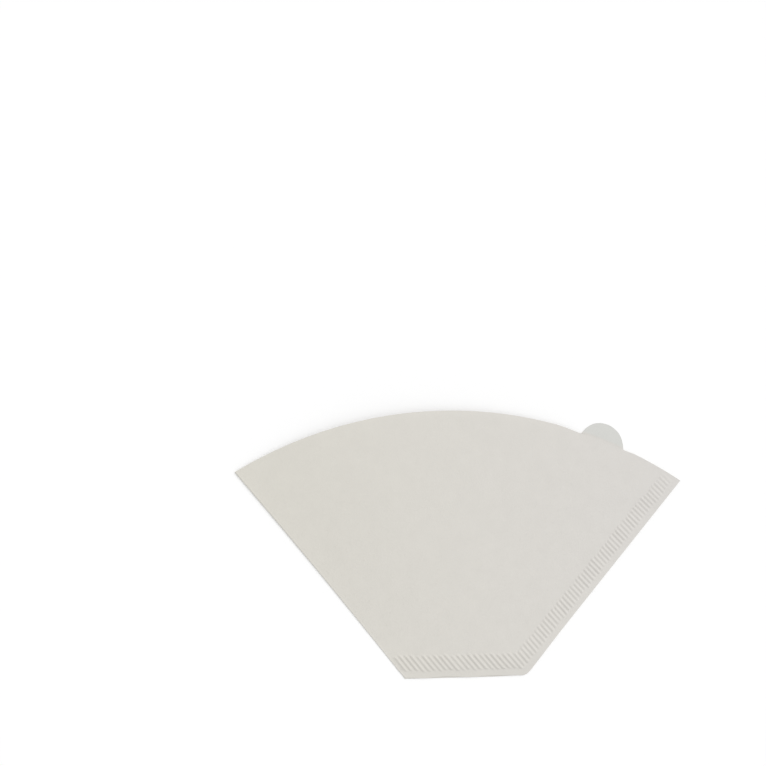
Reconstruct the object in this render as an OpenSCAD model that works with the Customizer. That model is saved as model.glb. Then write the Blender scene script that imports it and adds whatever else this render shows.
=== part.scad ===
// Cone coffee filter, folded flat as it comes out of the pack.
// One sheet of filter paper is folded down its left side. The foot and the right side are closed
// by crimping both plies together, and the curved mouth stays open. It lies on its back ply, with
// the mouth towards +Y, the fold on the -X side and the pull tab on the ply underneath.
// Millimetres.

/* [Paper] */
// Thickness of one ply
paper = 0.2; // [0.1:0.05:0.4]

/* [Outline] */
// Width across the mouth, from corner to corner
mouth_w = 165; // [130:1:200]
// Width of the foot
foot_w = 43; // [36:1:60]
// Rise of the foot's cut from the fold to the crimped side
foot_rise = 0.8; // [0:0.1:2]
// Height of the mouth's corners above the foot
side_h = 71; // [60:1:90]
// Rise of the mouth's curve above its corners
arc_rise = 24; // [18:0.25:32]
// Radius of the corner between the foot and the crimped side
corner_r = 3.5; // [1:0.5:8]

/* [Pull tab] */
// Radius of the tab
tab_r = 8.8; // [6:0.1:11]
// How far the tab stands out of the mouth's curve
tab_out = 6.3; // [4:0.1:8]
// Distance of the tab from the middle of the mouth, towards the crimped side
tab_x = 52.2; // [20:0.1:56]
// Radius between the tab and the mouth's curve
tab_fillet = 0.75; // [0.5:0.25:3]

/* [Crimped seams] */
// Plain edge outside the crimp of the side
side_margin = 2; // [1.5:0.1:4]
// Width of the crimp of the side
side_crimp = 5.4; // [4:0.1:8]
// Plain edge below the crimp of the foot
foot_margin = 2.3; // [1.5:0.1:4]
// Width of the crimp of the foot
foot_crimp = 5.6; // [4:0.1:8]
// Spacing of the grooves
groove_pitch = 1.56; // [1.4:0.02:2.4]
// Depth of the grooves
groove_depth = 0.4; // [0.1:0.05:0.5]
// Length over which a groove runs out at its two ends
groove_runout = 0.5; // [0.2:0.1:1]
// Turn of the grooves, from along the fold at the first to the mouth's far corner, in degrees
groove_fan = 6; // [2:0.5:9]
// Plain paper between the fold and the first groove
fold_plain = 1.3; // [1:0.1:4]
// Plain paper between the last groove and the mouth, along the side
mouth_plain = 3.8; // [3:0.1:9]

/* [Pocket] */
// How far the plies stand apart where the mouth is widest
mouth_gap = 2.4; // [0.8:0.1:3.6]
// How far the plies stand apart inside the fold, at the mouth
fold_gap = 0.4; // [0.2:0.05:0.8]

/* [Hidden] */
PAPER_WHITE = "#dbd8d0";

// Grid of the sheet: a row of points for each crest and each valley of the crimp
crimp_from = 1; // the point of a row where the crimp starts
crimp_to = 4; // the point of a row where the crimp ends and the pocket starts
pocket_cells = 6; // from the crimp to the mouth
last = crimp_to + pocket_cells; // the point of a row on the mouth
bend_turns = [-45, 0, 45]; // round the outside of the fold

// Form of the gap between the plies, across the pocket
gap_lean = 0.7; // under 1, so that the widest place lies towards the fold
gap_bell = 2; // how softly the plies meet at the crimped side
fold_fade = 6; // how quickly the gap inside the fold closes

tab_root = 1.5; // the tab's depth inside the mouth's curve
fillet_dip = 0.02; // dip of the fillets under the mouth's curve, so that the two lines cross
round_steps = 96; // facets of the tab's circles
tiny = 0.001; // keeps a quotient defined

// Corners of the flat outline, and the directions along and in from its three straight edges
fold_foot = [-foot_w / 2, 0];
fold_top = [-mouth_w / 2, side_h];
side_foot = [foot_w / 2, foot_rise];
side_top = [mouth_w / 2, side_h];
fold_dir = (fold_top - fold_foot) / norm(fold_top - fold_foot);
fold_in = [fold_dir.y, -fold_dir.x];
foot_dir = (side_foot - fold_foot) / norm(side_foot - fold_foot);
foot_in = [-foot_dir.y, foot_dir.x];
side_dir = (side_top - side_foot) / norm(side_top - side_foot);
side_in = [-side_dir.y, side_dir.x];

// Circle of the mouth, and circle of the foot's rounded corner
mouth_r = (pow(mouth_w / 2, 2) + pow(arc_rise, 2)) / (2 * arc_rise);
mouth_mid = [0, side_h + arc_rise - mouth_r];
corner_mid = side_foot + side_in * corner_r
    + side_dir * (corner_r * (1 - side_in * foot_in) / (side_dir * foot_in));

// The grooves are rays from a far hub on the line of the fold. A ray is named by its distance w
// from the fold, square to the foot's end of the fold, and a reach of 1 is at that distance.
hub_far = mouth_w * fold_in.x / tan(groove_fan) + mouth_w * fold_dir.x;
hub = fold_top + fold_dir * hub_far;
function ray(w) = fold_foot + fold_in * w - hub;
function at(w, reach) = hub + ray(w) * reach;
function reach_line(w, p, n) = ((p - hub) * n) / (ray(w) * n);
function reach_circle(w, mid, r, side) =
    let (d = ray(w), q = hub - mid, a = d * d, b = d * q, c = q * q - r * r)
    (-b + side * sqrt(b * b - a * c)) / a;

// Where a ray leaves the outline drawn in by a at the foot and by b at the side
function reach_inset(w, a, b) = min(
    reach_line(w, fold_foot + foot_in * a, foot_in),
    reach_line(w, side_foot + side_in * b, side_in));
function in_corner(p) = (p - corner_mid) * foot_dir > 0 && (p - corner_mid) * side_dir < 0;
function reach_edge(w) =
    let (sharp = reach_inset(w, 0, 0))
    in_corner(at(w, sharp)) ? reach_circle(w, corner_mid, corner_r, 1) : sharp;

// Plan of one row: the cut edge, the crimp with its two runouts, then the pocket to the mouth
function row_on_ray(w) =
    let (
        from = reach_inset(w, foot_margin, side_margin),
        to = reach_inset(w, foot_margin + foot_crimp, side_margin + side_crimp),
        runout = groove_runout / norm(ray(w)),
        mouth = reach_circle(w, mouth_mid, mouth_r, -1)
    )
    [
        for (reach = [reach_edge(w), from, from - runout, to + runout, to]) at(w, reach),
        for (i = [1:pocket_cells]) at(w, to + (mouth - to) * i / pocket_cells),
    ];

// The last row lies on the mouth's curve, from its far corner to the end of the row before it
function mouth_at(inset) =
    let (p = side_foot + side_in * inset - mouth_mid, b = p * side_dir)
    p + side_dir * (sqrt(b * b - p * p + mouth_r * mouth_r) - b) + mouth_mid;
function turn(p) = atan2(p.y - mouth_mid.y, p.x - mouth_mid.x);
function on_mouth(angle) = mouth_mid + mouth_r * [cos(angle), sin(angle)];
function row_on_mouth(end) =
    let (
        crimp_end = side_margin + side_crimp,
        insets = [0, side_margin, side_margin + groove_runout, crimp_end - groove_runout, crimp_end],
        from = turn(mouth_at(crimp_end))
    )
    [
        for (inset = insets) mouth_at(inset),
        for (i = [1:pocket_cells]) on_mouth(from + (turn(end) - from) * i / pocket_cells),
    ];

// Rows across the sheet: the fold, then two rows for each groove, then the mouth's far corner
bend_w = paper + fold_gap / 2;
side_end = side_top - side_dir * mouth_plain - hub;
last_w = norm(fold_foot - hub) * (side_end * fold_in) / (side_end * -fold_dir);
grooves = floor((last_w - fold_plain) / groove_pitch);
ray_ws = [bend_w, for (j = [0:2 * grooves]) fold_plain + j * groove_pitch / 2];
crests = [0, for (j = [0:2 * grooves]) j % 2, 0];
ray_rows = [for (w = ray_ws) row_on_ray(w)];
end_of_last = ray_rows[len(ray_rows) - 1][last];
plan = [each ray_rows, row_on_mouth(end_of_last)];
rows = len(plan);

// Space between the plies: none at the crimp, a little in the fold, most near the mouth's middle
function rise(p) =
    let (from = foot_margin + foot_crimp)
    sin(90 * max(0, (p - fold_foot) * foot_in - from) / (side_h + arc_rise - from));
function gap_at(p) =
    let (
        a = max(0, (p - fold_foot) * fold_in - bend_w),
        b = max(0, (p - side_foot) * side_in - side_margin - side_crimp),
        across = a / max(a + b, tiny)
    )
    rise(p) * (mouth_gap * pow(sin(180 * pow(across, gap_lean)), gap_bell)
        + fold_gap * pow(1 - across, fold_fade));
function gap(j, i) = i <= crimp_to ? 0 : gap_at(plan[j][i]);
function groove(j, i) = (i > crimp_from && i < crimp_to) ? groove_depth * crests[j] : 0;
function bend_point(i, angle) =
    let (height = 2 * paper + gap(0, i))
    [each row_on_ray(bend_w * (1 - cos(angle)))[i], height / 2 * (1 + sin(angle))];

// Points of the solid, grid by grid
below = [for (j = [0:rows - 1]) for (i = [0:last]) [each plan[j][i], groove(j, i)]];
above = [for (j = [0:rows - 1]) for (i = [0:last])
    [each plan[j][i], 2 * paper + gap(j, i) + groove(j, i)]];
bend = [for (angle = bend_turns) for (i = [0:last]) bend_point(i, angle)];
floor_in = [for (j = [0:rows - 1]) for (i = [crimp_to:last]) [each plan[j][i], paper]];
roof_in = [for (j = [0:rows - 1]) for (i = [crimp_to:last])
    [each plan[j][i], paper + gap(j, i)]];
hinge = [for (i = [crimp_to:last]) [each row_on_ray(paper)[i], paper + gap(0, i) / 2]];

// Numbers of those points. The last row ends on the end of the row before it, and the pocket's
// floor and roof share their edge along the crimp.
wide = last + 1;
deep = pocket_cells + 1;
function met(j, i) = (j == rows - 1 && i == last) ? j - 1 : j;
function n_below(j, i) = met(j, i) * wide + i;
function n_above(j, i) = rows * wide + n_below(j, i);
function n_bend(k, i) = 2 * rows * wide + k * wide + i;
first_in = (2 * rows + len(bend_turns)) * wide;
function n_floor(j, i) = first_in + met(j, i) * deep + i - crimp_to;
function n_roof(j, i) = n_floor(j, i) + (i == crimp_to ? 0 : rows * deep);
function n_hinge(i) = first_in + 2 * rows * deep + i - crimp_to;

// The outside, once round the fold: below, the bend, above
bends = len(bend_turns);
function n_wrap(k, i) =
    k < 0 ? n_below(-1 - k, i) : k < bends ? n_bend(k, i) : n_above(k - bends, i);

function tri(a, b, c) = (a == b || b == c || c == a) ? [] : [[a, b, c]];
function quad(a, b, c, d) = [each tri(a, b, c), each tri(a, c, d)];

outside = [for (k = [-rows:bends + rows - 2]) for (i = [0:last - 1])
    each quad(n_wrap(k, i), n_wrap(k, i + 1), n_wrap(k + 1, i + 1), n_wrap(k + 1, i))];
pocket = [for (j = [0:rows - 2]) for (i = [crimp_to:last - 1]) each [
    each quad(n_roof(j, i), n_roof(j + 1, i), n_roof(j + 1, i + 1), n_roof(j, i + 1)),
    each quad(n_floor(j, i), n_floor(j, i + 1), n_floor(j + 1, i + 1), n_floor(j + 1, i)),
]];
in_fold = [for (i = [crimp_to:last - 1]) each [
    each quad(n_hinge(i), n_roof(0, i), n_roof(0, i + 1), n_hinge(i + 1)),
    each quad(n_hinge(i), n_hinge(i + 1), n_floor(0, i + 1), n_floor(0, i)),
]];

// Cut edges: foot and side, the fold's end at the foot, the two lips of the mouth, the fold's end
// at the mouth, and the crimped corner
foot_cut = [
    for (j = [0:rows - 2])
        each quad(n_below(j, 0), n_above(j, 0), n_above(j + 1, 0), n_below(j + 1, 0)),
    for (k = [-1:bends - 1]) each tri(n_below(0, 0), n_wrap(k, 0), n_wrap(k + 1, 0)),
];
lip_path = [
    for (j = [0:rows - 2]) [j, last],
    for (i = [last - 1:-1:crimp_to]) [rows - 1, i],
];
lips = [for (s = [0:len(lip_path) - 2])
    let (p = lip_path[s], q = lip_path[s + 1], j = p[0], i = p[1], jj = q[0], ii = q[1])
    each [
        each quad(n_below(j, i), n_below(jj, ii), n_floor(jj, ii), n_floor(j, i)),
        each quad(n_roof(j, i), n_roof(jj, ii), n_above(jj, ii), n_above(j, i)),
    ]];
fold_end = [
    [n_bend(0, last), n_below(0, last), n_floor(0, last)],
    [n_bend(0, last), n_floor(0, last), n_hinge(last)],
    for (k = [0:bends - 2]) [n_bend(k + 1, last), n_bend(k, last), n_hinge(last)],
    [n_bend(bends - 1, last), n_hinge(last), n_roof(0, last)],
    [n_bend(bends - 1, last), n_roof(0, last), n_above(0, last)],
];
end_row = rows - 1;
corner_cut = [
    [n_floor(end_row, crimp_to), n_below(end_row, crimp_to), n_below(end_row, crimp_to - 1)],
    [n_floor(end_row, crimp_to), n_below(end_row, crimp_to - 1), n_above(end_row, crimp_to - 1)],
    [n_floor(end_row, crimp_to), n_above(end_row, crimp_to - 1), n_above(end_row, crimp_to)],
    for (i = [1:crimp_to - 1])
        each quad(n_below(end_row, i), n_below(end_row, i - 1),
            n_above(end_row, i - 1), n_above(end_row, i)),
];

// The folded and crimped sheet
module sheet() {
    polyhedron(
        points = [each below, each above, each bend, each floor_in, each roof_in, each hinge],
        faces = [each outside, each pocket, each in_fold, each foot_cut, each lips,
            each fold_end, each corner_cut]);
}

// The tab, a rounded tongue of the back ply
module tab() {
    tab_far = mouth_r + tab_out - tab_r;
    tab_turn = acos(tab_x / tab_far);
    tab_mid = mouth_mid + tab_far * [cos(tab_turn), sin(tab_turn)];
    // centres of the two fillets, from the triangle of the three circles
    side_a = mouth_r + tab_fillet - fillet_dip;
    side_b = tab_r + tab_fillet;
    open = acos((side_a * side_a + tab_far * tab_far - side_b * side_b) / (2 * side_a * tab_far));
    fillet_mids = [for (s = [-1, 1])
        mouth_mid + side_a * [cos(tab_turn + s * open), sin(tab_turn + s * open)]];
    linear_extrude(paper) difference() {
        union() {
            translate(tab_mid) circle(tab_r, $fn = round_steps);
            polygon([mouth_mid, fillet_mids[0], tab_mid, fillet_mids[1]]);
        }
        for (mid = fillet_mids) translate(mid) circle(tab_fillet, $fn = round_steps);
        translate(mouth_mid) circle(mouth_r - tab_root, $fn = round_steps);
    }
}

// The middle of the flat outline lies over the origin
module paper_filter() {
    color(PAPER_WHITE) translate([0, -(side_h + arc_rise) / 2, 0]) union() {
        sheet();
        tab();
    }
}

paper_filter();
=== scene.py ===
# Paper coffee filter, folded flat and lying on a pale table, seen from above its foot.
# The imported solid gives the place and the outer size. The filter shown here is the same folded sheet,
# made finer: two plies of thin paper with pressed grooves, a rounded fold, a soft pocket and a pull tab.
import math
import random

import bmesh
import bpy
from mathutils import Matrix, Vector, noise


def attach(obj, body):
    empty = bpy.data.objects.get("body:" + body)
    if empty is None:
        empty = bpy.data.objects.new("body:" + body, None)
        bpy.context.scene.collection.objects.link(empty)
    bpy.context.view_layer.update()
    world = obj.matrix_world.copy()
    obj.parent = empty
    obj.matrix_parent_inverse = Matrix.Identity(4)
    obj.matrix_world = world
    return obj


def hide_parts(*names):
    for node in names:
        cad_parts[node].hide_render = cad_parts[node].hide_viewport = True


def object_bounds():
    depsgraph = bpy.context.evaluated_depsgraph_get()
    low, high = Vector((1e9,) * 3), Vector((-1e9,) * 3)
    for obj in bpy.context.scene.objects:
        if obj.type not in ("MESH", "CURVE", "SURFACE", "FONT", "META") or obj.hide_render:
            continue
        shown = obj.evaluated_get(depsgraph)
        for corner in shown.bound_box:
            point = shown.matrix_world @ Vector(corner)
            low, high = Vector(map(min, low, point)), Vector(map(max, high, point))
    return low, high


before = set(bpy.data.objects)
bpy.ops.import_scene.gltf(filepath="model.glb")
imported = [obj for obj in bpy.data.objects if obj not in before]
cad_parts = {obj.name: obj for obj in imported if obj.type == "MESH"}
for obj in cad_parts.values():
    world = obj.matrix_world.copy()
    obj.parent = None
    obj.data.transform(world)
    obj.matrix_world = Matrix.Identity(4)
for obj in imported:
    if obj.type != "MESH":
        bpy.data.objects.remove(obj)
cad_low, cad_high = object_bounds()

MM = 0.001

# Outline, as in the solid
MOUTH_W = cad_high.x - cad_low.x
FOOT_Y = cad_low.y
FOOT_W = 43 * MM
FOOT_RISE = 0.8 * MM
SIDE_H = 71 * MM
CORNER_R = 3.5 * MM

# Pull tab
TAB_R = 8.8 * MM
TAB_OUT = 6.3 * MM
TAB_X = 52.2 * MM
TAB_FILLET = 0.35 * MM

# Crimped seams
SIDE_MARGIN = 2 * MM
SIDE_CRIMP = 5.4 * MM
FOOT_MARGIN = 2.3 * MM
FOOT_CRIMP = 5.6 * MM
GROOVE_PITCH = 1.56 * MM
GROOVE_DEPTH = 0.4 * MM
GROOVE_FAN = math.radians(6)
GROOVES = 77  # one more than in the solid, fading out at the mouth
FOLD_PLAIN = 1.3 * MM
RUNOUT = 0.6 * MM  # a groove rises to its full depth over this length at each end

# Pocket between the plies, with the solid's gap and swell
PLY_STEP = 0.2 * MM  # from the middle of one ply to the middle of the other, where they touch
PAPER = 0.15 * MM  # thickness drawn, so that the plies stay apart on the slopes of the grooves
MOUTH_GAP = 2.4 * MM
FOLD_GAP = 0.4 * MM
GAP_LEAN = 0.7
GAP_BELL = 2
FOLD_FADE = 6

# Fineness of the mesh
ARC_STEP = 1 * MM
GROOVE_CUTS = 8  # cuts along the rays in each groove
BAND_CUTS = (-0.8, -0.4, 0, 0.3, 0.6, 0.9)  # cuts beside each border of the crimp, in millimetres
POCKET_CUTS = 11
LIP_RINGS = (0.8 * MM, 1.0 * MM, 1.4 * MM)  # widths of the strips along the mouth, from its edge
BEND_CUTS = 6
BEND_BORDER = (0.05 * MM, 0.25 * MM)  # cuts beside the bend, which keep its shading to itself
CORNER_CUTS = 8
TIP_CUTS = 3
WELD = 0.002 * MM
NEAR_TIP = 4 * WELD  # the mouth's curve is made of straight steps, so its end misses the tip a little
ON_CURVE = 0.02 * MM
TURN_SLACK = 1e-6  # in radians
ALONG = 0.99  # least cosine between the fold's line and an edge that runs along it
SHARP = math.radians(35)

# The paper itself
# painted light tint: the two plies warmer towards the fold, cooler towards the crimped side
TWO_PLIES_LEFT = "#d9d6cd"  # at the fold
TWO_PLIES_RIGHT = "#d9d6d2"  # at the crimped side
# painted shade: the lone ply of the tab cooler and a little greyer
ONE_PLY_PAINTED_SHADE = "#d5d5d1"
ONE_PLY_BORDER = 1 * MM
CLOUD_L = 6 * MM  # pulp lies thicker and thinner in clouds of this width
CLOUD_RANGE = (0.3, 0.7)  # of the noise, from the thin places to the thick ones
CLOUD_SHADES = (0.992, 1.013)
FIBRE_L = 2 * MM
FIBRE_W = 0.16 * MM  # real fibres are 0.03 mm wide; these are drawn coarser, or none would show
FIBRE_BEND = 1.2 * MM
FIBRE_BEND_L = 3 * MM
FIBRE_TURNS = (14, 71, 128)  # in degrees, so that fibres cross each other
FIBRE_PEAKS = (0.6, 0.74)  # a fibre shows where its noise passes these
FIBRE_SHADE = 1.03
FIBRE_LIFT = 0.5  # height of the fibres, as a share of the grain's
GRAIN_L = 0.7 * MM  # the felt's grain, finer on real paper, drawn as coarse as it needs to show
SKIN_H = 0.045 * MM
ROUGH_FELT, ROUGH_FIBRE = 0.94, 0.84
GLINT = 0.2  # specular level: uncoated paper hardly shines
CREASED, CREASE_END = 0.4 * MM, 1.3 * MM  # the painted light along the fold is full this far from its line, and gone by the second
# painted light along the fold, lifting the shade of the bend
FOLD_PAINTED_LIGHT = 1.037
# painted shade over the foot's margin and crimp
FOOT_PAINTED_SHADE = 0.985
FOOT_BORDER = 1 * MM  # on each side of the line where the foot's crimp ends

# What the making and the handling leave in the paper
SHALLOWEST = 0.72  # depth of the faintest groove, as a share of the deepest
START_STRAY, END_STRAY = 0.25, 0.3  # how far a groove's two ends stray, in millimetres
FADING = (0.35, 0.7, 0.8, 0.8, 0.85, 0.9, 0.95, 1)  # depth left in the last grooves, the last one first
LIFT_OFF = 0.9 * MM  # how much shorter the last grooves get
GROOVE_WANDER = 0.09  # sideways, as a share of the pitch
GROOVE_UNEVEN = 0.2
WANDER_L = 2.5 * MM
WANDER_STEP = 0.37  # neighbouring grooves lie this far apart in the noise that they wander by
WANDER_TO_DEPTH = Vector((0, 40, 0))  # from there to the noise that makes their depths uneven
FOOT_DEEPER = 1.1  # the foot's crimp is pressed harder than the side's
LIP_CURL = 0.17  # share of the gap by which the upper lip curls in
LIP_DEEP = 3.2 * MM
TAB_HOLD = 0.8  # share of the gap that is pressed out round the tab
TAB_HOLD_R = 20 * MM
CORNER_WEAR = 0.6 * MM  # the tip of the crimped side, rubbed round
FOOT_SHORT = 0.36 * MM  # the upper ply's cut edge stands back by up to this, in waves along the foot
SHORT_AT, SHORT_L = -6.9 * MM, 16.4 * MM  # where one wave is deepest, and their length
WAVE_H = 0.13 * MM  # soft waves of the upper ply
WAVE_L = 17 * MM
DIPS = ((1, 0.5 * MM, 10 * MM), (-1, 0.34 * MM, 5 * MM))  # side of the tab, depth and length
DIP_UNDER = 4 * MM  # how far a dip runs on under the tab
FOLD_BOW = 0.45 * MM  # the fold was creased a little hollow
BOW_DEEP = 12 * MM
CORNER_LIFT, LIFT_L = 0.26 * MM, 13 * MM  # the foot's edge rises towards the crimped corner
CORNER_FLARE, FLARE_L = 0.3 * MM, 18 * MM  # and the side's edge stands out there

# Table, light and camera
TABLE_W = 6  # in metres
TABLE_DROP = 0.05 * MM
SKY = 0.7  # light from all round, as a share of full white
KEY_AZIMUTH, KEY_HEIGHT = 50, 52  # in degrees: from the back towards the right, and above the table
KEY_SHARE = 0.306  # of full white, on a level surface
KEY_SPREAD = 55
CAMERA_PLACE = Vector((-78.76, -17.42, 379.93)) * MM
CAMERA_AIM = Vector((-29.65, 57.37, 0)) * MM
CAMERA_ROLL = math.radians(0.274)
LENS, SENSOR_W = 50, 36  # in millimetres
NEAREST = 10 * MM

# Outline worked out from those sizes
ARC_RISE = cad_high.y - cad_low.y - SIDE_H
MOUTH_R = (MOUTH_W ** 2 / 4 + ARC_RISE ** 2) / (2 * ARC_RISE)
MOUTH_MID = Vector((0, cad_high.y - MOUTH_R, 0))
FOLD_FOOT = Vector((-FOOT_W / 2, FOOT_Y, 0))
FOLD_TOP = Vector((-MOUTH_W / 2, FOOT_Y + SIDE_H, 0))
SIDE_FOOT = Vector((FOOT_W / 2, FOOT_Y + FOOT_RISE, 0))
SIDE_TOP = Vector((MOUTH_W / 2, FOOT_Y + SIDE_H, 0))
FOLD_DIR = (FOLD_TOP - FOLD_FOOT).normalized()
FOLD_IN = Vector((FOLD_DIR.y, -FOLD_DIR.x, 0))
FOOT_DIR = (SIDE_FOOT - FOLD_FOOT).normalized()
FOOT_IN = Vector((-FOOT_DIR.y, FOOT_DIR.x, 0))
SIDE_DIR = (SIDE_TOP - SIDE_FOOT).normalized()
SIDE_IN = Vector((-SIDE_DIR.y, SIDE_DIR.x, 0))

# The tab's circle and its two fillets, seen from the middle of the mouth's curve
TAB_FAR = MOUTH_R + TAB_OUT - TAB_R
TAB_TURN = math.acos(TAB_X / TAB_FAR)
TAB_REACH = TAB_R + TAB_FILLET
FILLET_FAR = MOUTH_R + TAB_FILLET
TAB_HALF = math.acos((FILLET_FAR ** 2 + TAB_FAR ** 2 - TAB_REACH ** 2) / (2 * FILLET_FAR * TAB_FAR))
TAB_ROOT = MOUTH_MID + MOUTH_R * Vector((math.cos(TAB_TURN), math.sin(TAB_TURN), 0))

# The grooves are rays from a far hub on the line of the fold
HUB_FAR = MOUTH_W * (FOLD_IN.x / math.tan(GROOVE_FAN) + FOLD_DIR.x)
HUB = FOLD_TOP + FOLD_DIR * HUB_FAR
HUB_TO_FOOT = (FOLD_FOOT - HUB).length


def smooth(t):
    """Goes softly from 0 to 1."""
    t = min(max(t, 0), 1)
    return t * t * (3 - 2 * t)


def choose(active, *others):
    """Selects these pieces alone, with the first as the active one."""
    bpy.ops.object.select_all(action="DESELECT")
    for piece in (active, *others):
        piece.select_set(True)
    bpy.context.view_layer.objects.active = active


def open_up(piece):
    """Opens one piece for editing, with nothing selected."""
    choose(piece)
    bpy.ops.object.mode_set(mode="EDIT")
    bpy.ops.mesh.select_all(action="DESELECT")


def close_up():
    """Ends the editing."""
    bpy.ops.object.mode_set(mode="OBJECT")


def pick(piece, part, wanted):
    """Selects the points or edges of an open piece that are wanted, by their place."""
    bpy.ops.mesh.select_all(action="DESELECT")
    mesh = bmesh.from_edit_mesh(piece.data)
    for item in getattr(mesh, part):
        if wanted(item):
            item.select_set(True)
    bmesh.update_edit_mesh(piece.data)


def cut(place, ahead, drop=False):
    """Cuts the open piece along a straight line through a place; drop takes off what lies ahead."""
    bpy.ops.mesh.select_all(action="SELECT")
    bpy.ops.mesh.bisect(plane_co=place, plane_no=ahead, clear_outer=drop, threshold=WELD)


def raise_by(piece, name, height, share):
    """Lifts each point by its share of a height: a painted weight and a displacement."""
    weight = piece.vertex_groups.new(name=name)
    for point in piece.data.vertices:
        weight.add([point.index], share(point.co), "REPLACE")
    lift = piece.modifiers.new(name, "DISPLACE")
    lift.direction = "Z"
    lift.mid_level = 0
    lift.strength = height
    lift.vertex_group = name
    bpy.context.view_layer.objects.active = piece
    bpy.ops.object.modifier_apply(modifier=name)


# Places on the sheet

def foot_in(p):
    """Distance from the cut edge of the foot."""
    return (p - FOLD_FOOT).dot(FOOT_IN)


def side_in(p):
    """Distance from the cut edge of the crimped side."""
    return (p - SIDE_FOOT).dot(SIDE_IN)


def fold_in(p):
    """Distance from the line of the fold."""
    return (p - FOLD_FOOT).dot(FOLD_IN)


def groove_at(p):
    """Number of the groove at a place, and how far across that groove it lies."""
    from_hub = p - HUB
    ray = HUB_TO_FOOT * from_hub.dot(FOLD_IN) / -from_hub.dot(FOLD_DIR)
    turns = (ray - FOLD_PLAIN) / GROOVE_PITCH
    return math.floor(turns), turns - math.floor(turns)


def flat(p):
    """The place on the table that lies under a point."""
    return Vector((p.x, p.y, 0))


# The ply, flat: a disc of the mouth's curve, trimmed and scored

def cut_ply():
    """One ply of the filter, cut out flat and scored along every groove."""
    steps = round(2 * math.pi * MOUTH_R / ARC_STEP)
    bpy.ops.object.select_all(action="DESELECT")
    bpy.ops.mesh.primitive_circle_add(
        vertices=steps, radius=MOUTH_R, fill_type="NGON", location=MOUTH_MID)
    ply = bpy.context.active_object
    bpy.ops.object.transform_apply(location=True)
    open_up(ply)
    bpy.ops.mesh.select_all(action="SELECT")
    for strip in LIP_RINGS:
        bpy.ops.mesh.inset(thickness=strip)
    # the foot, the crimped side, and the fold's side, which leans in by the room that the bend takes
    bend_foot = FOLD_FOOT + FOLD_IN * PLY_STEP
    bend_top = FOLD_TOP + FOLD_IN * (PLY_STEP + FOLD_GAP) / 2 + FOLD_IN * PAPER / 2
    bend_dir = (bend_top - bend_foot).normalized()
    bend_out = Vector((-bend_dir.y, bend_dir.x, 0))
    cut(SIDE_FOOT, -FOOT_IN, drop=True)
    cut(SIDE_FOOT, -SIDE_IN, drop=True)
    cut(bend_foot, bend_out, drop=True)
    for border in BEND_BORDER:
        cut(bend_foot - bend_out * border, bend_out)
    # the rounded corner of the foot
    turn = FOOT_DIR.angle(SIDE_DIR)
    pick(ply, "verts", lambda v: (v.co - SIDE_FOOT).length < WELD)
    bpy.ops.mesh.bevel(
        offset=CORNER_R * math.tan(turn / 2), segments=CORNER_CUTS, affect="VERTICES")
    # the tip where the crimped side meets the mouth
    pick(ply, "verts", lambda v: (v.co - SIDE_TOP).length < NEAR_TIP)
    bpy.ops.mesh.bevel(offset=CORNER_WEAR, segments=TIP_CUTS, affect="VERTICES")
    # borders of the crimp, then the pocket's rows, then the grooves
    for inward, margin, crimp in (
            (FOOT_IN, FOOT_MARGIN, FOOT_CRIMP), (SIDE_IN, SIDE_MARGIN, SIDE_CRIMP)):
        for border, side in ((margin, 1), (margin + crimp, -1)):
            for step in BAND_CUTS:
                cut(SIDE_FOOT + inward * (border + side * step * MM), inward)
    pocket_h = SIDE_H + ARC_RISE - FOOT_MARGIN - FOOT_CRIMP
    for row in range(1, POCKET_CUTS + 1):
        height = FOOT_MARGIN + FOOT_CRIMP + pocket_h * row / (POCKET_CUTS + 1)
        cut(SIDE_FOOT + FOOT_IN * height, FOOT_IN)
    for score in range(GROOVES * GROOVE_CUTS + 1):
        ray = FOLD_FOOT + FOLD_IN * (FOLD_PLAIN + GROOVE_PITCH * score / GROOVE_CUTS) - HUB
        cut(HUB, Vector((ray.y, -ray.x, 0)))
    close_up()
    return ply


# Heights: the pressed grooves and the pocket

random.seed(11)
groove_depths = [random.uniform(SHALLOWEST, 1.0) for _ in range(GROOVES)]
groove_starts = [random.uniform(-START_STRAY, START_STRAY) * MM for _ in range(GROOVES)]
groove_ends = [random.uniform(-END_STRAY, END_STRAY) * MM for _ in range(GROOVES)]
for last, share in enumerate(FADING):
    # the wheels lift off at the mouth: the last grooves are fainter and shorter
    groove_depths[GROOVES - 1 - last] *= share
    groove_ends[GROOVES - 1 - last] -= LIFT_OFF * (1 - last / len(FADING))


def pressed(p):
    """Share of the groove's depth that the crimping wheels raised at a place."""
    groove, across = groove_at(p)
    if not 0 <= groove < GROOVES:
        return 0
    along = Vector(((p - HUB).length / WANDER_L, groove * WANDER_STEP, 0))
    across += GROOVE_WANDER * noise.noise(along)
    depth = groove_depths[groove] * (1 + GROOVE_UNEVEN * noise.noise(along + WANDER_TO_DEPTH))
    if foot_in(p) < FOOT_MARGIN + FOOT_CRIMP:
        depth *= FOOT_DEEPER
    from_edge = min(foot_in(p) - FOOT_MARGIN, side_in(p) - SIDE_MARGIN)
    from_pocket = max(FOOT_MARGIN + FOOT_CRIMP - foot_in(p), SIDE_MARGIN + SIDE_CRIMP - side_in(p))
    ends = smooth((from_edge + groove_starts[groove]) / RUNOUT)
    ends *= smooth((from_pocket + groove_ends[groove]) / RUNOUT)
    return depth * ends * (1 - math.cos(2 * math.pi * across)) / 2


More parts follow.
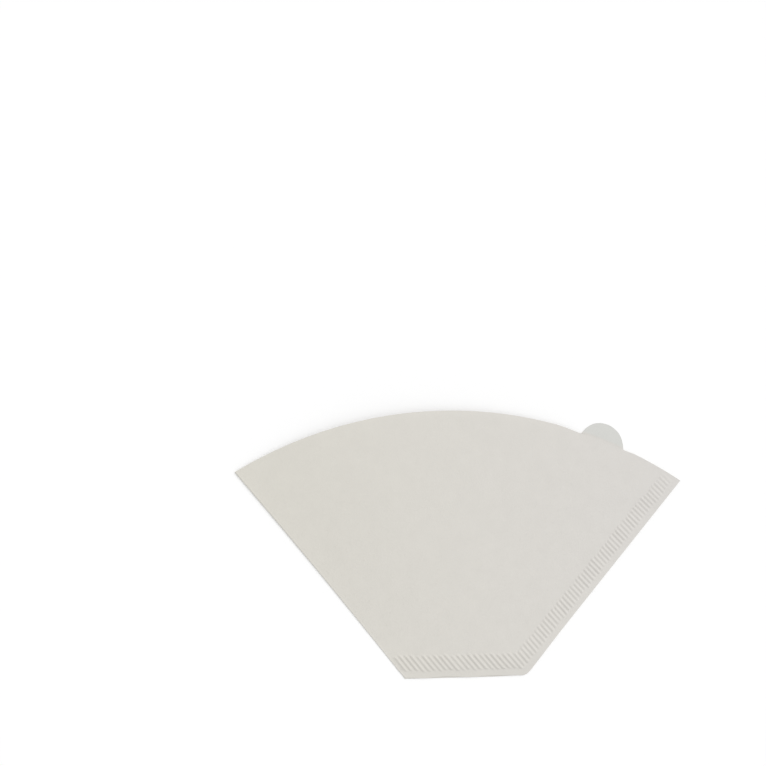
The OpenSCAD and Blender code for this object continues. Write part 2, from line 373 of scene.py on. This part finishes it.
def gap(p):
    """Space between the plies at a place: the solid's, with a curled lip, soft waves and a held tab."""
    start = FOOT_MARGIN + FOOT_CRIMP
    height = cad_high.y - cad_low.y
    rise = math.sin(math.pi / 2 * max(0, foot_in(p) - start) / (height - start))
    from_fold = max(0, fold_in(p) - PLY_STEP * 2)
    from_seam = max(0, side_in(p) - SIDE_MARGIN - SIDE_CRIMP)
    if from_seam == 0:
        return 0
    across = from_fold / (from_fold + from_seam)
    bell = math.sin(math.pi * across ** GAP_LEAN) ** GAP_BELL
    from_lip = MOUTH_R - (p - MOUTH_MID).length
    curl = 1 - LIP_CURL * max(0, 1 - from_lip / LIP_DEEP) ** 2
    held = 1 - TAB_HOLD * smooth(1 - (p - TAB_ROOT).length / TAB_HOLD_R)
    wave = WAVE_H * noise.noise(p / WAVE_L) * bell
    return rise * (MOUTH_GAP * bell * curl + FOLD_GAP * (1 - across) ** FOLD_FADE + wave) * held


def add_tab(ply):
    """Draws the pull tab out of the mouth's curve of the back ply."""
    # where the fillet runs into the tab's circle
    fillet_mid = FILLET_FAR * Vector((math.cos(TAB_HALF), math.sin(TAB_HALF), 0))
    touch = Vector((TAB_FAR, 0, 0)).lerp(fillet_mid, TAB_R / TAB_REACH)
    touch_turn = math.atan2(touch.y, touch.x)

    def turned(p):
        """Angle between a place and the middle of the tab."""
        return abs(math.atan2(p.y - MOUTH_MID.y, p.x - MOUTH_MID.x) - TAB_TURN)

    def outline(angle):
        """How far out the tab reaches at that angle."""
        if angle <= touch_turn:
            half_chord = math.sqrt(TAB_R ** 2 - (TAB_FAR * math.sin(angle)) ** 2)
            return TAB_FAR * math.cos(angle) + half_chord
        off = TAB_HALF - angle
        half_chord = math.sqrt(max(0, TAB_FILLET ** 2 - (FILLET_FAR * math.sin(off)) ** 2))
        return FILLET_FAR * math.cos(off) - half_chord

    def under_tab(point):
        """Whether a point lies on the mouth's curve, between the tab's two roots."""
        on_curve = abs((flat(point.co) - MOUTH_MID).length - MOUTH_R) < ON_CURVE
        return on_curve and turned(point.co) < TAB_HALF + TURN_SLACK

    open_up(ply)
    for angle in (TAB_TURN - TAB_HALF, TAB_TURN + TAB_HALF):
        cut(MOUTH_MID, Vector((-math.sin(angle), math.cos(angle), 0)))
    pick(ply, "edges", lambda e: e.is_boundary and all(under_tab(v) for v in e.verts))
    bpy.ops.mesh.extrude_region_move(TRANSFORM_OT_translate={"value": (0, 0, 0)})
    mesh = bmesh.from_edit_mesh(ply.data)
    for point in mesh.verts:
        if point.select:
            away = (flat(point.co) - MOUTH_MID).normalized()
            point.co = MOUTH_MID + away * max(MOUTH_R, outline(turned(point.co)))
    bmesh.update_edit_mesh(ply.data)
    bpy.ops.mesh.select_all(action="SELECT")
    bpy.ops.mesh.remove_doubles(threshold=WELD)
    close_up()


def cut_unevenly(ply, foot_short):
    """Lets the edges stray as a die and a crease leave them: a wavering foot, its corner a little out
    of line, a fold that is slightly hollow, and dips beside the tab."""
    for point in ply.data.vertices:
        p = flat(point.co)
        at_foot = smooth(1 - foot_in(p) / FOOT_MARGIN)
        short = foot_short * (1 + math.cos(2 * math.pi * (p.x - SHORT_AT) / SHORT_L)) / 2
        lift = CORNER_LIFT * smooth((p.x - SIDE_FOOT.x + LIFT_L) / LIFT_L)
        at_side = smooth(1 - side_in(p) / SIDE_MARGIN)
        flare = CORNER_FLARE * smooth(1 - foot_in(p) / FLARE_L) * at_side
        along = (p - FOLD_FOOT).dot(FOLD_DIR) / (FOLD_TOP - FOLD_FOOT).length
        at_fold = smooth(1 - fold_in(p) / BOW_DEEP)
        bow = FOLD_BOW * math.sin(math.pi * min(max(along, 0), 1)) * at_fold
        point.co += FOOT_IN * (short + lift) * at_foot - SIDE_IN * flare + FOLD_IN * bow
        from_mid = p - MOUTH_MID
        near = smooth(1 - (MOUTH_R - from_mid.length) / LIP_DEEP)
        if near == 0:
            continue
        angle = math.atan2(from_mid.y, from_mid.x) - TAB_TURN
        for side, depth, length in DIPS:
            out = (side * angle - TAB_HALF) * MOUTH_R
            share = smooth(1 - out / length) if out > 0 else smooth(1 + out / DIP_UNDER)
            point.co -= from_mid.normalized() * depth * near * share


def fold_filter():
    """The folded filter: two plies, the bend of the fold between them, and the paper's thickness."""
    back = cut_ply()
    choose(back)
    bpy.ops.object.duplicate()
    front = bpy.context.active_object
    add_tab(back)
    cut_unevenly(back, 0)
    cut_unevenly(front, FOOT_SHORT)
    for ply in (back, front):
        raise_by(ply, "crimp", GROOVE_DEPTH, pressed)
    raise_by(front, "pocket", MOUTH_GAP, lambda p: gap(flat(p)) / MOUTH_GAP)
    for ply, height in ((back, PAPER / 2), (front, PAPER / 2 + PLY_STEP)):
        open_up(ply)
        bpy.ops.mesh.select_all(action="SELECT")
        bpy.ops.transform.translate(value=(0, 0, height))
        close_up()
    choose(front, back)
    bpy.ops.object.join()
    sheet = bpy.context.active_object
    sheet.name = "folded_filter_sheet"

    def beside_fold(edge):
        """Whether an edge is the cut one of a ply beside the fold."""
        near = all(fold_in(flat(v.co)) < FOLD_PLAIN for v in edge.verts)
        along = (edge.verts[0].co - edge.verts[1].co).normalized().dot(FOLD_DIR)
        return edge.is_boundary and near and abs(along) > ALONG

    # the bend of the fold
    open_up(sheet)
    pick(sheet, "edges", beside_fold)
    bpy.ops.mesh.bridge_edge_loops(number_cuts=BEND_CUTS, interpolation="SURFACE")
    bpy.ops.mesh.select_all(action="SELECT")
    bpy.ops.mesh.remove_doubles(threshold=2 * WELD)
    bpy.ops.mesh.dissolve_degenerate(threshold=WELD)
    bpy.ops.mesh.normals_make_consistent(inside=False)
    close_up()
    thick = sheet.modifiers.new("paper", "SOLIDIFY")
    thick.thickness = PAPER
    thick.offset = 0
    thick.use_even_offset = True
    bpy.ops.object.modifier_apply(modifier="paper")
    bpy.ops.object.shade_smooth_by_angle(angle=SHARP)
    return sheet


# Materials

def linear(code):
    """An sRGB hex colour as linear red, green, blue and alpha."""
    parts = [int(code[i:i + 2], 16) / 255 for i in (1, 3, 5)]
    return [c / 12.92 if c <= 0.04045 else ((c + 0.055) / 1.055) ** 2.4 for c in parts] + [1]


WHITE = linear("#ffffff")

# A mixing node has sockets for every kind of value: these are the numbers of those for colours
MIX_A, MIX_B, MIXED = 6, 7, 2


def add(tree, kind, settings=None, links=None):
    """Adds a node with its settings, and links other sockets to its inputs, by name or number."""
    node = tree.nodes.new(kind)
    for name, value in (settings or {}).items():
        if isinstance(name, int) or name in node.inputs:
            node.inputs[name].default_value = value
        else:
            setattr(node, name, value)
    for name, source in (links or {}).items():
        tree.links.new(source, node.inputs[name])
    return node


def new_material(name):
    """An empty material, and its node tree."""
    material = bpy.data.materials.new(name)
    material.use_nodes = True
    material.node_tree.nodes.clear()
    return material, material.node_tree


def plies_tone_and_painted_light(tree, place):
    """The tone of two plies, with a painted light tint: warmer towards the fold, cooler towards the
    crimped side. Out on the tab one ply lies alone, with painted shade: cooler and a little greyer."""
    where = add(tree, "ShaderNodeSeparateXYZ", links={"Vector": place})
    # painted light tint, from the fold's side to the crimped side
    drift = add(tree, "ShaderNodeMapRange", {"From Min": -MOUTH_W / 2, "From Max": MOUTH_W / 2},
        {"Value": where.outputs["X"]})
    two_plies = add(tree, "ShaderNodeMix",
        {"data_type": "RGBA", MIX_A: linear(TWO_PLIES_LEFT), MIX_B: linear(TWO_PLIES_RIGHT)},
        {"Factor": drift.outputs["Result"]})
    from_mid = add(tree, "ShaderNodeVectorMath", {"operation": "DISTANCE", 1: MOUTH_MID}, {0: place})
    # painted shade on the tab, beyond the mouth's curve
    painted_tab_shade = add(tree, "ShaderNodeMapRange",
        {"From Min": MOUTH_R, "From Max": MOUTH_R + ONE_PLY_BORDER}, {"Value": from_mid.outputs["Value"]})
    tone = add(tree, "ShaderNodeMix", {"data_type": "RGBA", MIX_B: linear(ONE_PLY_PAINTED_SHADE)},
        {"Factor": painted_tab_shade.outputs["Result"], MIX_A: two_plies.outputs[MIXED]})
    return tone.outputs[MIXED]


def painted_fold_and_foot_light(tree, place):
    """Painted light and shade on the tone. Along the fold a painted light lifts the shade of the bend.
    Over the foot's margin and seam a painted shade makes it a little greyer, as the shade in its grooves."""
    from_fold = add(tree, "ShaderNodeVectorMath", {"operation": "DOT_PRODUCT", 1: FOLD_IN}, {0: place})
    start = FOLD_FOOT.dot(FOLD_IN)
    # painted light along the fold
    painted_fold_light = add(tree, "ShaderNodeMapRange",
        {"From Min": start + CREASED, "From Max": start + CREASE_END, "To Min": FOLD_PAINTED_LIGHT, "To Max": 1},
        {"Value": from_fold.outputs["Value"]})
    # painted shade over the foot's margin and crimp
    from_foot = add(tree, "ShaderNodeVectorMath", {"operation": "DOT_PRODUCT", 1: FOOT_IN}, {0: place})
    border = FOLD_FOOT.dot(FOOT_IN) + FOOT_MARGIN + FOOT_CRIMP
    painted_foot_shade = add(tree, "ShaderNodeMapRange",
        {"From Min": border - FOOT_BORDER, "From Max": border + FOOT_BORDER,
         "To Min": FOOT_PAINTED_SHADE, "To Max": 1},
        {"Value": from_foot.outputs["Value"]})
    both = add(tree, "ShaderNodeMath", {"operation": "MULTIPLY"},
        {0: painted_fold_light.outputs["Result"], 1: painted_foot_shade.outputs["Result"]})
    return both.outputs["Value"]


def laid_fibres(tree, place):
    """Loose fibres: thin bent streaks in a few directions, where stretched noise peaks."""
    bend = add(tree, "ShaderNodeTexNoise", {"Scale": 1 / FIBRE_BEND_L, "Detail": 0}, {"Vector": place})
    bent = add(tree, "ShaderNodeVectorMath",
        {"operation": "MULTIPLY_ADD", 1: (FIBRE_BEND, FIBRE_BEND, FIBRE_BEND)},
        {0: bend.outputs["Color"], 2: place})
    fibres = None
    for turn in FIBRE_TURNS:
        laid = add(tree, "ShaderNodeMapping",
            {"vector_type": "TEXTURE", "Rotation": (0, 0, math.radians(turn)),
             "Scale": (FIBRE_L, FIBRE_W, FIBRE_L)},
            {"Vector": bent.outputs["Vector"]})
        streaks = add(tree, "ShaderNodeTexNoise", {"Scale": 1, "Detail": 1},
            {"Vector": laid.outputs["Vector"]})
        peaks = add(tree, "ShaderNodeMapRange",
            {"From Min": FIBRE_PEAKS[0], "From Max": FIBRE_PEAKS[1]},
            {"Value": streaks.outputs["Fac"]}).outputs["Result"]
        fibres = peaks if fibres is None else add(tree, "ShaderNodeMath",
            {"operation": "MAXIMUM"}, {0: fibres, 1: peaks}).outputs["Value"]
    return fibres


def filter_paper():
    """Long softwood fibres laid wet on a wire and dried without a coating: matt and off-white, a little
    cloudy against a light, with loose fibres that keep the broad plain face from looking like card."""
    material, tree = new_material("wet_laid_filter_paper")
    place = add(tree, "ShaderNodeTexCoord").outputs["Object"]
    fibres = laid_fibres(tree, place)
    # clouds in the pulp: lighter where it lies thicker
    clouds = add(tree, "ShaderNodeTexNoise",
        {"Scale": 1 / CLOUD_L, "Detail": 3, "Roughness": 0.55}, {"Vector": place})
    cloud_shade = add(tree, "ShaderNodeMapRange",
        {"From Min": CLOUD_RANGE[0], "From Max": CLOUD_RANGE[1],
         "To Min": CLOUD_SHADES[0], "To Max": CLOUD_SHADES[1]},
        {"Value": clouds.outputs["Fac"]})
    fibre_shade = add(tree, "ShaderNodeMapRange", {"To Min": 1, "To Max": FIBRE_SHADE}, {"Value": fibres})
    pulp_shade = add(tree, "ShaderNodeMath", {"operation": "MULTIPLY"},
        {0: cloud_shade.outputs["Result"], 1: fibre_shade.outputs["Result"]})
    shade = add(tree, "ShaderNodeMath", {"operation": "MULTIPLY"},
        {0: pulp_shade.outputs["Value"], 1: painted_fold_and_foot_light(tree, place)})
    colour = add(tree, "ShaderNodeMix", {"data_type": "RGBA", "blend_type": "MULTIPLY", "Factor": 1},
        {MIX_A: plies_tone_and_painted_light(tree, place), MIX_B: shade.outputs["Value"]})
    # the skin: a fine felt grain with the fibres lying on it, and a little glossier on the fibres
    grain = add(tree, "ShaderNodeTexNoise", {"Scale": 1 / GRAIN_L, "Detail": 3}, {"Vector": place})
    height = add(tree, "ShaderNodeMath", {"operation": "MULTIPLY_ADD", 1: FIBRE_LIFT},
        {0: fibres, 2: grain.outputs["Fac"]})
    skin = add(tree, "ShaderNodeBump", {"Distance": SKIN_H}, {"Height": height.outputs["Value"]})
    gloss = add(tree, "ShaderNodeMapRange", {"To Min": ROUGH_FELT, "To Max": ROUGH_FIBRE},
        {"Value": fibres})
    surface = add(tree, "ShaderNodeBsdfPrincipled", {"Specular IOR Level": GLINT},
        {"Base Color": colour.outputs[MIXED], "Roughness": gloss.outputs["Result"],
         "Normal": skin.outputs["Normal"]})
    add(tree, "ShaderNodeOutputMaterial", links={"Surface": surface.outputs["BSDF"]})
    return material


def table_top():
    """A board painted plain matt white, which gives back no highlight."""
    material, tree = new_material("matt_white_table")
    surface = add(tree, "ShaderNodeBsdfPrincipled",
        {"Base Color": WHITE, "Roughness": 1, "Specular IOR Level": 0})
    add(tree, "ShaderNodeOutputMaterial", links={"Surface": surface.outputs["BSDF"]})
    return material


sheet = fold_filter()
sheet.data.materials.clear()
sheet.data.materials.append(filter_paper())
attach(sheet, "root")
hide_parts("paper_filter")

# Stage

bpy.ops.object.select_all(action="DESELECT")
bpy.ops.mesh.primitive_plane_add(size=TABLE_W, location=(0, 0, -TABLE_DROP))
floor = bpy.context.active_object
floor.name = "table_top"
bpy.ops.object.transform_apply(location=True)
floor.data.materials.append(table_top())


# Light: an even white sky that the camera and reflections see brighter, and one far soft lamp

def white_sky():
    """Lights the scene softly from all round, and shows as white behind it."""
    world = bpy.data.worlds.new("studio")
    bpy.context.scene.world = world
    world.use_nodes = True
    tree = world.node_tree
    tree.nodes.clear()
    ray = add(tree, "ShaderNodeLightPath").outputs
    seen = add(tree, "ShaderNodeMath", {"operation": "MAXIMUM"},
        {0: ray["Is Camera Ray"], 1: ray["Is Glossy Ray"]})
    seen_too = add(tree, "ShaderNodeMath", {"operation": "MAXIMUM"},
        {0: seen.outputs["Value"], 1: ray["Is Transmission Ray"]})
    soft_light = add(tree, "ShaderNodeBackground", {"Color": WHITE, "Strength": SKY})
    backdrop = add(tree, "ShaderNodeBackground", {"Color": WHITE, "Strength": 1})
    shown = add(tree, "ShaderNodeMixShader", links={
        0: seen_too.outputs["Value"], 1: soft_light.outputs["Background"],
        2: backdrop.outputs["Background"]})
    add(tree, "ShaderNodeOutputWorld", links={"Surface": shown.outputs["Shader"]})


def far_light(name, azimuth, height, share, spread):
    """A far soft light that gives a level surface this share of full white."""
    a, e = math.radians(azimuth), math.radians(height)
    away = Vector((math.sin(a) * math.cos(e), math.cos(a) * math.cos(e), math.sin(e)))
    bpy.ops.object.light_add(type="SUN", location=away)
    lamp = bpy.context.active_object
    lamp.name = name
    lamp.data.energy = share * math.pi / math.sin(e)
    lamp.data.angle = math.radians(spread)
    lamp.rotation_euler = away.to_track_quat("Z", "Y").to_euler()


white_sky()
far_light("key_softbox", KEY_AZIMUTH, KEY_HEIGHT, KEY_SHARE, KEY_SPREAD)

# Camera, at the photograph's angle

bpy.ops.object.camera_add(location=CAMERA_PLACE)
camera = bpy.context.active_object
camera.data.lens = LENS
camera.data.sensor_width = SENSOR_W
camera.data.clip_start = NEAREST
back_axis = (CAMERA_PLACE - CAMERA_AIM).normalized()
right_axis = Vector((0, 1, 0)).cross(back_axis).normalized()
up_axis = back_axis.cross(right_axis)
turned = Matrix((right_axis, up_axis, back_axis)).transposed()
camera.rotation_euler = (Matrix.Rotation(CAMERA_ROLL, 3, back_axis) @ turned).to_euler()
bpy.context.scene.camera = camera
bpy.context.scene.view_settings.view_transform = "Standard"
